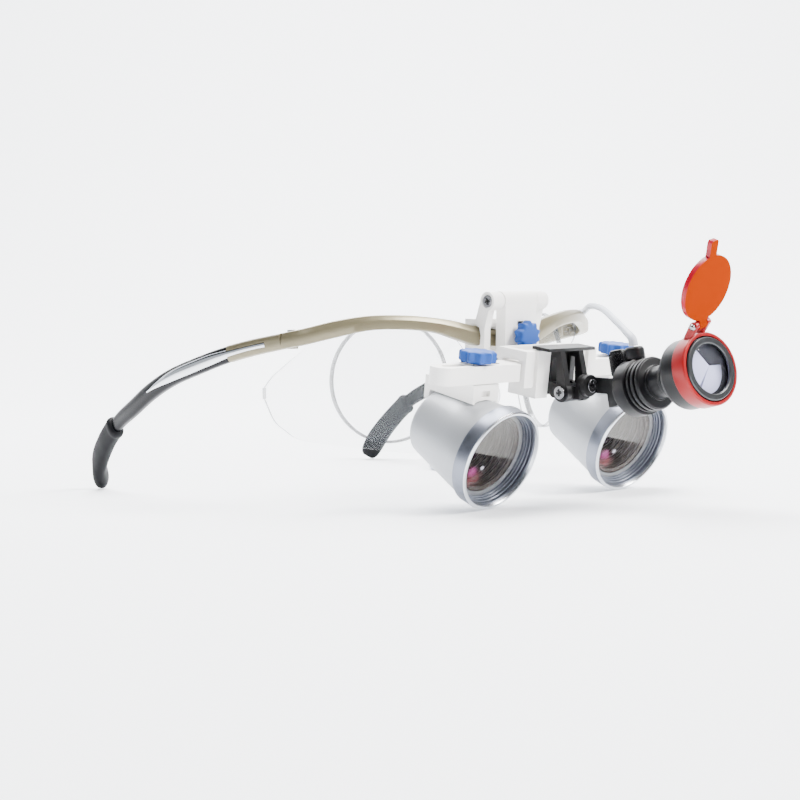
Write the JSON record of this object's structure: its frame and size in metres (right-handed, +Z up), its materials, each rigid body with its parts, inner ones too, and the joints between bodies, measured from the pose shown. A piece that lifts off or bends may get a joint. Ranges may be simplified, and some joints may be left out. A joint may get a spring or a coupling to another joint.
{
  "type": "dental loupes with headlight",
  "caption": "Flip-up binocular loupes on a sport spectacle frame, with clear shields, spacing and height adjustment, and a tilting headlight with a flip-up filter.",
  "frame": {"origin": "centre of the bounding box at the surface that the objective rims and ear tips stand on", "axes": "-Y the way the wearer looks, +X the wearer's left, +Z up"},
  "size_m": [0.1565, 0.2313, 0.0782],
  "materials": {
    "champagne_metal": "satin champagne lacquer over metal",
    "white_plastic": "moulded warm white plastic with a fine grain",
    "blue_plastic": "moulded matte blue plastic",
    "silver_alloy": "bead-blasted silver anodised aluminium",
    "satin_ring": "turned satin blue-grey aluminium",
    "black_alloy": "satin black anodised aluminium",
    "black_plastic": "satin black moulded plastic",
    "steel": "plain steel",
    "chrome_trim": "polished chrome",
    "sleeve_rubber": "matte charcoal rubber",
    "smoky_gloss": "dark smoky glossy plastic",
    "clear_plastic": "clear polycarbonate",
    "coated_glass": "glass with a purple anti-reflection coating over a dark baffled tube",
    "lamp_glass": "clear moulded lens",
    "led_phosphor": "yellow phosphor dome on a white base",
    "red_alloy": "red anodised metal",
    "filter_acrylic": "translucent orange acrylic",
    "lead_jacket": "soft white cable jacket",
    "plug_body": "black moulded plug with a plated sleeve"
  },
  "bodies": {
    "frame": {"brow_bar": "champagne_metal", "shield_right": "clear_plastic", "shield_left": "clear_plastic", "rx_insert": "clear_plastic", "nose_pad_right": "clear_plastic", "nose_pad_left": "clear_plastic", "nose_wire_right": "steel", "nose_wire_left": "steel", "bridge_clamp": "white_plastic", "flip_axle": "steel", "temple_screw_right": "steel", "temple_screw_left": "steel", "brow_clip": "clear_plastic", "lead_loop": "lead_jacket"},
    "flip": {"flip_plate": "white_plastic"},
    "rail": {"carriage": "white_plastic", "cross_rail": "white_plastic", "lamp_bracket": "black_plastic", "tilt_screw": "steel"},
    "centre_knob": {"knob_centre": "blue_plastic", "stud_centre": "steel"},
    "loupe_right": {"saddle_right": "white_plastic", "barrel_right": "silver_alloy", "objective_ring_right": "satin_ring", "objective_right": "coated_glass", "eyepiece_right": "coated_glass"},
    "knob_right": {"knob_right": "blue_plastic", "stud_right": "steel"},
    "loupe_left": {"saddle_left": "white_plastic", "barrel_left": "silver_alloy", "objective_ring_left": "satin_ring", "objective_left": "coated_glass", "eyepiece_left": "coated_glass"},
    "knob_left": {"knob_left": "blue_plastic", "stud_left": "steel"},
    "lamp_link": {"lamp_link": "black_plastic", "swivel_screw": "steel"},
    "lamp": {"lamp_yoke": "black_alloy", "lamp_housing": "black_alloy", "lamp_head": "black_alloy", "lamp_emitter": "led_phosphor", "lamp_lens": "lamp_glass", "lamp_bezel": "satin_ring", "cable_gland": "black_alloy"},
    "lamp_thumbscrew": {"thumbscrew": "black_alloy"},
    "collar": {"filter_collar": "red_alloy", "filter_pin": "steel"},
    "filter": {"filter_disc": "filter_acrylic"},
    "temple_right": {"temple_end_right": "champagne_metal", "temple_inlay_right": "chrome_trim", "temple_arm_right": "smoky_gloss", "ear_sleeve_right": "sleeve_rubber"},
    "temple_left": {"temple_end_left": "champagne_metal", "temple_inlay_left": "chrome_trim", "temple_arm_left": "smoky_gloss", "ear_sleeve_left": "sleeve_rubber", "temple_clip": "clear_plastic", "lead_temple": "lead_jacket", "lead_coil": "lead_jacket", "lead_plug": "plug_body"}
  },
  "joints": [
    {"name": "flip_hinge", "type": "hinge", "parent": "frame", "child": "flip", "pos_m": [0, -0.03213, 0.06269], "axis": [-1, 0, 0], "range_deg": [0, 80], "deforming": ["lead_loop"]},
    {"name": "height_slide", "type": "slide", "parent": "flip", "child": "rail", "axis": [0, -0.0558, 0.9984], "range_m": [-0.003, 0.003], "deforming": ["lead_loop"]},
    {"name": "centre_knob_turn", "type": "hinge", "parent": "rail", "child": "centre_knob", "pos_m": [0, -0.03651, 0.05143], "axis": [0, -0.9984, -0.0558], "range_deg": [0, 360]},
    {"name": "spacing_slide_right", "type": "slide", "parent": "rail", "child": "loupe_right", "axis": [1, 0, 0], "range_m": [-0.004, 0.004]},
    {"name": "spacing_slide_left", "type": "slide", "parent": "rail", "child": "loupe_left", "axis": [1, 0, 0], "range_m": [-0.004, 0.004]},
    {"name": "spacing_knob_turn_right", "type": "hinge", "parent": "loupe_right", "child": "knob_right", "pos_m": [-0.0323, -0.04642, 0.04577], "axis": [0, -0.1599, 0.9871], "range_deg": [0, 360]},
    {"name": "spacing_knob_turn_left", "type": "hinge", "parent": "loupe_left", "child": "knob_left", "pos_m": [0.0323, -0.04642, 0.04577], "axis": [0, -0.1599, 0.9871], "range_deg": [0, 360]},
    {"name": "lamp_tilt", "type": "hinge", "parent": "rail", "child": "lamp_link", "pos_m": [0, -0.05543, 0.03387], "axis": [-1, 0, 0], "range_deg": [-6, 22], "deforming": ["lead_loop"]},
    {"name": "lamp_swivel", "type": "hinge", "parent": "lamp_link", "child": "lamp", "pos_m": [0.001, -0.06197, 0.03578], "axis": [0, -0.9984, -0.0558], "range_deg": [-12, 12], "deforming": ["lead_loop"]},
    {"name": "thumbscrew_turn", "type": "hinge", "parent": "lamp", "child": "lamp_thumbscrew", "pos_m": [0.00757, -0.06824, 0.04156], "axis": [0.0336, 0.1971, 0.9798], "range_deg": [0, 360]},
    {"name": "collar_turn", "type": "hinge", "parent": "lamp", "child": "collar", "pos_m": [0.00288, -0.10333, 0.04062], "axis": [-0.1279, -0.9714, 0.1998], "range_deg": [-25, 25]},
    {"name": "filter_hinge", "type": "hinge", "parent": "collar", "child": "filter", "pos_m": [-0.0006, -0.10486, 0.05397], "axis": [0.9669, -0.0773, 0.2431], "range_deg": [0, 144.8]},
    {"name": "temple_hinge_right", "type": "hinge", "parent": "frame", "child": "temple_right", "pos_m": [-0.06406, 0.00249, 0.0525], "axis": [0, 0, -1], "range_deg": [0, 90]},
    {"name": "temple_hinge_left", "type": "hinge", "parent": "frame", "child": "temple_left", "pos_m": [0.06406, 0.00249, 0.0525], "axis": [0, 0, 1], "range_deg": [0, 82], "deforming": ["lead_temple"]}
  ]
}
